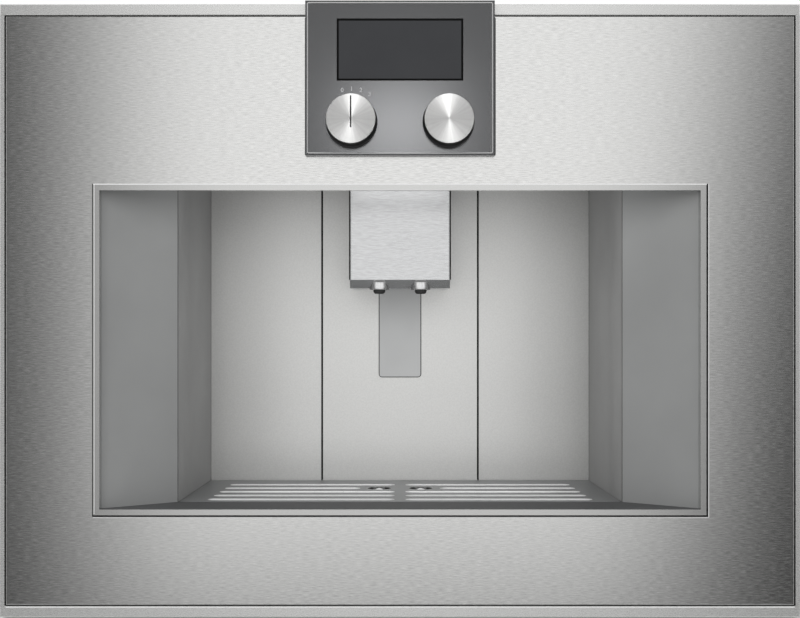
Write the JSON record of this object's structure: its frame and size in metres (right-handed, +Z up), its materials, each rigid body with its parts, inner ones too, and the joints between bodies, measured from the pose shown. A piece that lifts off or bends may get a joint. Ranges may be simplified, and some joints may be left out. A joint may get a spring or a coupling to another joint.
{
  "type": "built-in coffee machine",
  "caption": "Built-in coffee machine with a steel front, a lit cup niche, a sliding twin spout, a drip tray and a swinging door with dials.",
  "frame": {"origin": "centre of the outline on the plane the feet stand on", "axes": "+X to the user's right, +Y from the user towards the rear, +Z up; the front faces -Y"},
  "size_m": [0.59, 0.553, 0.4554],
  "materials": {
    "front_steel": "horizontally brushed, satin",
    "rail_steel": "brushed along its length",
    "trim_steel": "brushed, satin",
    "fascia_metal": "dark grey metallic, satin",
    "screen_glass": "dark, polished",
    "knob_steel": "turned, spun rings",
    "black_plastic": "fine moulded",
    "liner_plastic": "grey, finely textured",
    "niche_steel": "satin, fine grain",
    "niche_grey": "grey, finely textured",
    "guide_grey": "light grey, satin",
    "grid_steel": "satin",
    "polished_steel": "polished",
    "case_steel": "galvanised sheet, spangled",
    "rubber_black": "matt",
    "tank_clear": "clear, slightly blue",
    "smoke_plastic": "smoke tinted, clear",
    "grey_plastic": "moulded",
    "heater_aluminium": "cast",
    "bush_brass": "turned",
    "hose_silicone": "milky",
    "board_green": "solder mask",
    "burr_steel": "hardened, ground"
  },
  "bodies": {
    "chassis": {"base_pan": "case_steel", "feet": "rubber_black", "side_panels": "case_steel", "rear_panel": "case_steel", "top_cover": "case_steel", "top_screws": "polished_steel", "hinge_arms": "case_steel", "catch_plates": "polished_steel", "front_bulkhead": "black_plastic", "inner_frame": "case_steel", "niche_sides": "niche_grey", "niche_back_panels": "niche_steel", "spout_guide_plate": "guide_grey", "niche_back_carrier": "black_plastic", "niche_ceiling": "niche_grey", "niche_lamps": "guide_grey", "tray_shelf": "grey_plastic", "spout_guide": "polished_steel", "left_bay_rack": "grey_plastic", "tank_rack": "grey_plastic", "grinder_housing": "black_plastic", "ring_burr": "burr_steel", "grinder_motor": "case_steel", "brew_unit": "grey_plastic", "brew_cover": "liner_plastic", "pump": "black_plastic", "thermoblock": "heater_aluminium", "feed_hose": "hose_silicone", "brew_hose": "hose_silicone", "control_board": "board_green", "mains_inlet": "black_plastic"},
    "door": {"front_panel": "front_steel", "door_rails": "rail_steel", "hinge_bushes": "bush_brass", "niche_trim": "trim_steel", "door_liner": "liner_plastic", "door_magnets": "black_plastic", "door_screws": "polished_steel", "control_fascia": "fascia_metal", "control_housing": "black_plastic", "display_gasket": "rubber_black", "display_glass": "screen_glass", "display_board": "board_green", "knob_collars": "black_plastic"},
    "knob_left_body": {"knob_left": "knob_steel"},
    "knob_right_body": {"knob_right": "knob_steel"},
    "spout_body": {"spout_cover": "niche_steel", "spout_core": "black_plastic", "spout_nozzles": "polished_steel", "nozzle_rubber": "rubber_black", "spout_carriage": "grey_plastic"},
    "tray_body": {"drip_tray": "black_plastic"},
    "grid_body": {"drip_grid": "grid_steel", "drain_cups": "polished_steel"},
    "tank_body": {"water_tank": "tank_clear"},
    "tank_lid_body": {"water_tank_lid": "grey_plastic"},
    "hopper_body": {"bean_hopper": "smoke_plastic"},
    "grounds_body": {"grounds_container": "black_plastic"},
    "burr_body": {"cone_burr": "burr_steel"},
    "piston_body": {"brew_piston": "grey_plastic"}
  },
  "joints": [
    {"name": "door_swing", "type": "hinge", "parent": "chassis", "child": "door", "pos_m": [-0.287, -0.2315, 0.228], "axis": [0, 0, -1], "range_deg": [0, 110]},
    {"name": "left_knob_turn", "type": "hinge", "parent": "door", "child": "knob_left_body", "pos_m": [-0.0355, -0.2585, 0.3664], "axis": [0, 1, 0], "range_deg": [-18, 36]},
    {"name": "right_knob_turn", "type": "hinge", "parent": "door", "child": "knob_right_body", "pos_m": [0.0355, -0.2585, 0.3664], "axis": [0, 1, 0], "continuous": true},
    {"name": "spout_slide", "type": "slide", "parent": "chassis", "child": "spout_body", "axis": [0, 0, -1], "range_m": [0, 0.08]},
    {"name": "tray_slide", "type": "slide", "parent": "chassis", "child": "tray_body", "axis": [0, -1, 0], "range_m": [0, 0.17]},
    {"name": "grid_lift", "type": "slide", "parent": "tray_body", "child": "grid_body", "axis": [0, 0, 1], "range_m": [0, 0.06]},
    {"name": "tank_slide", "type": "slide", "parent": "chassis", "child": "tank_body", "axis": [0, -1, 0], "range_m": [0, 0.175]},
    {"name": "tank_lid_lift", "type": "slide", "parent": "tank_body", "child": "tank_lid_body", "axis": [0, 0, 1], "range_m": [0, 0.025]},
    {"name": "hopper_slide", "type": "slide", "parent": "chassis", "child": "hopper_body", "axis": [0, -1, 0], "range_m": [0, 0.08]},
    {"name": "grounds_slide", "type": "slide", "parent": "chassis", "child": "grounds_body", "axis": [0, -1, 0], "range_m": [0, 0.08]},
    {"name": "burr_spin", "type": "hinge", "parent": "chassis", "child": "burr_body", "pos_m": [-0.214, -0.0415, 0.27], "axis": [0, 0, 1], "continuous": true},
    {"name": "piston_slide", "type": "slide", "parent": "chassis", "child": "piston_body", "axis": [0, 0, -1], "range_m": [0, 0.025]}
  ],
  "couplings": [
    {"joint": "tray_slide", "follows": "door_swing", "m_per_rad": 0.085},
    {"joint": "tank_slide", "follows": "door_swing", "m_per_rad": 0.09},
    {"joint": "hopper_slide", "follows": "door_swing", "m_per_rad": 0.04},
    {"joint": "grounds_slide", "follows": "door_swing", "m_per_rad": 0.04}
  ]
}
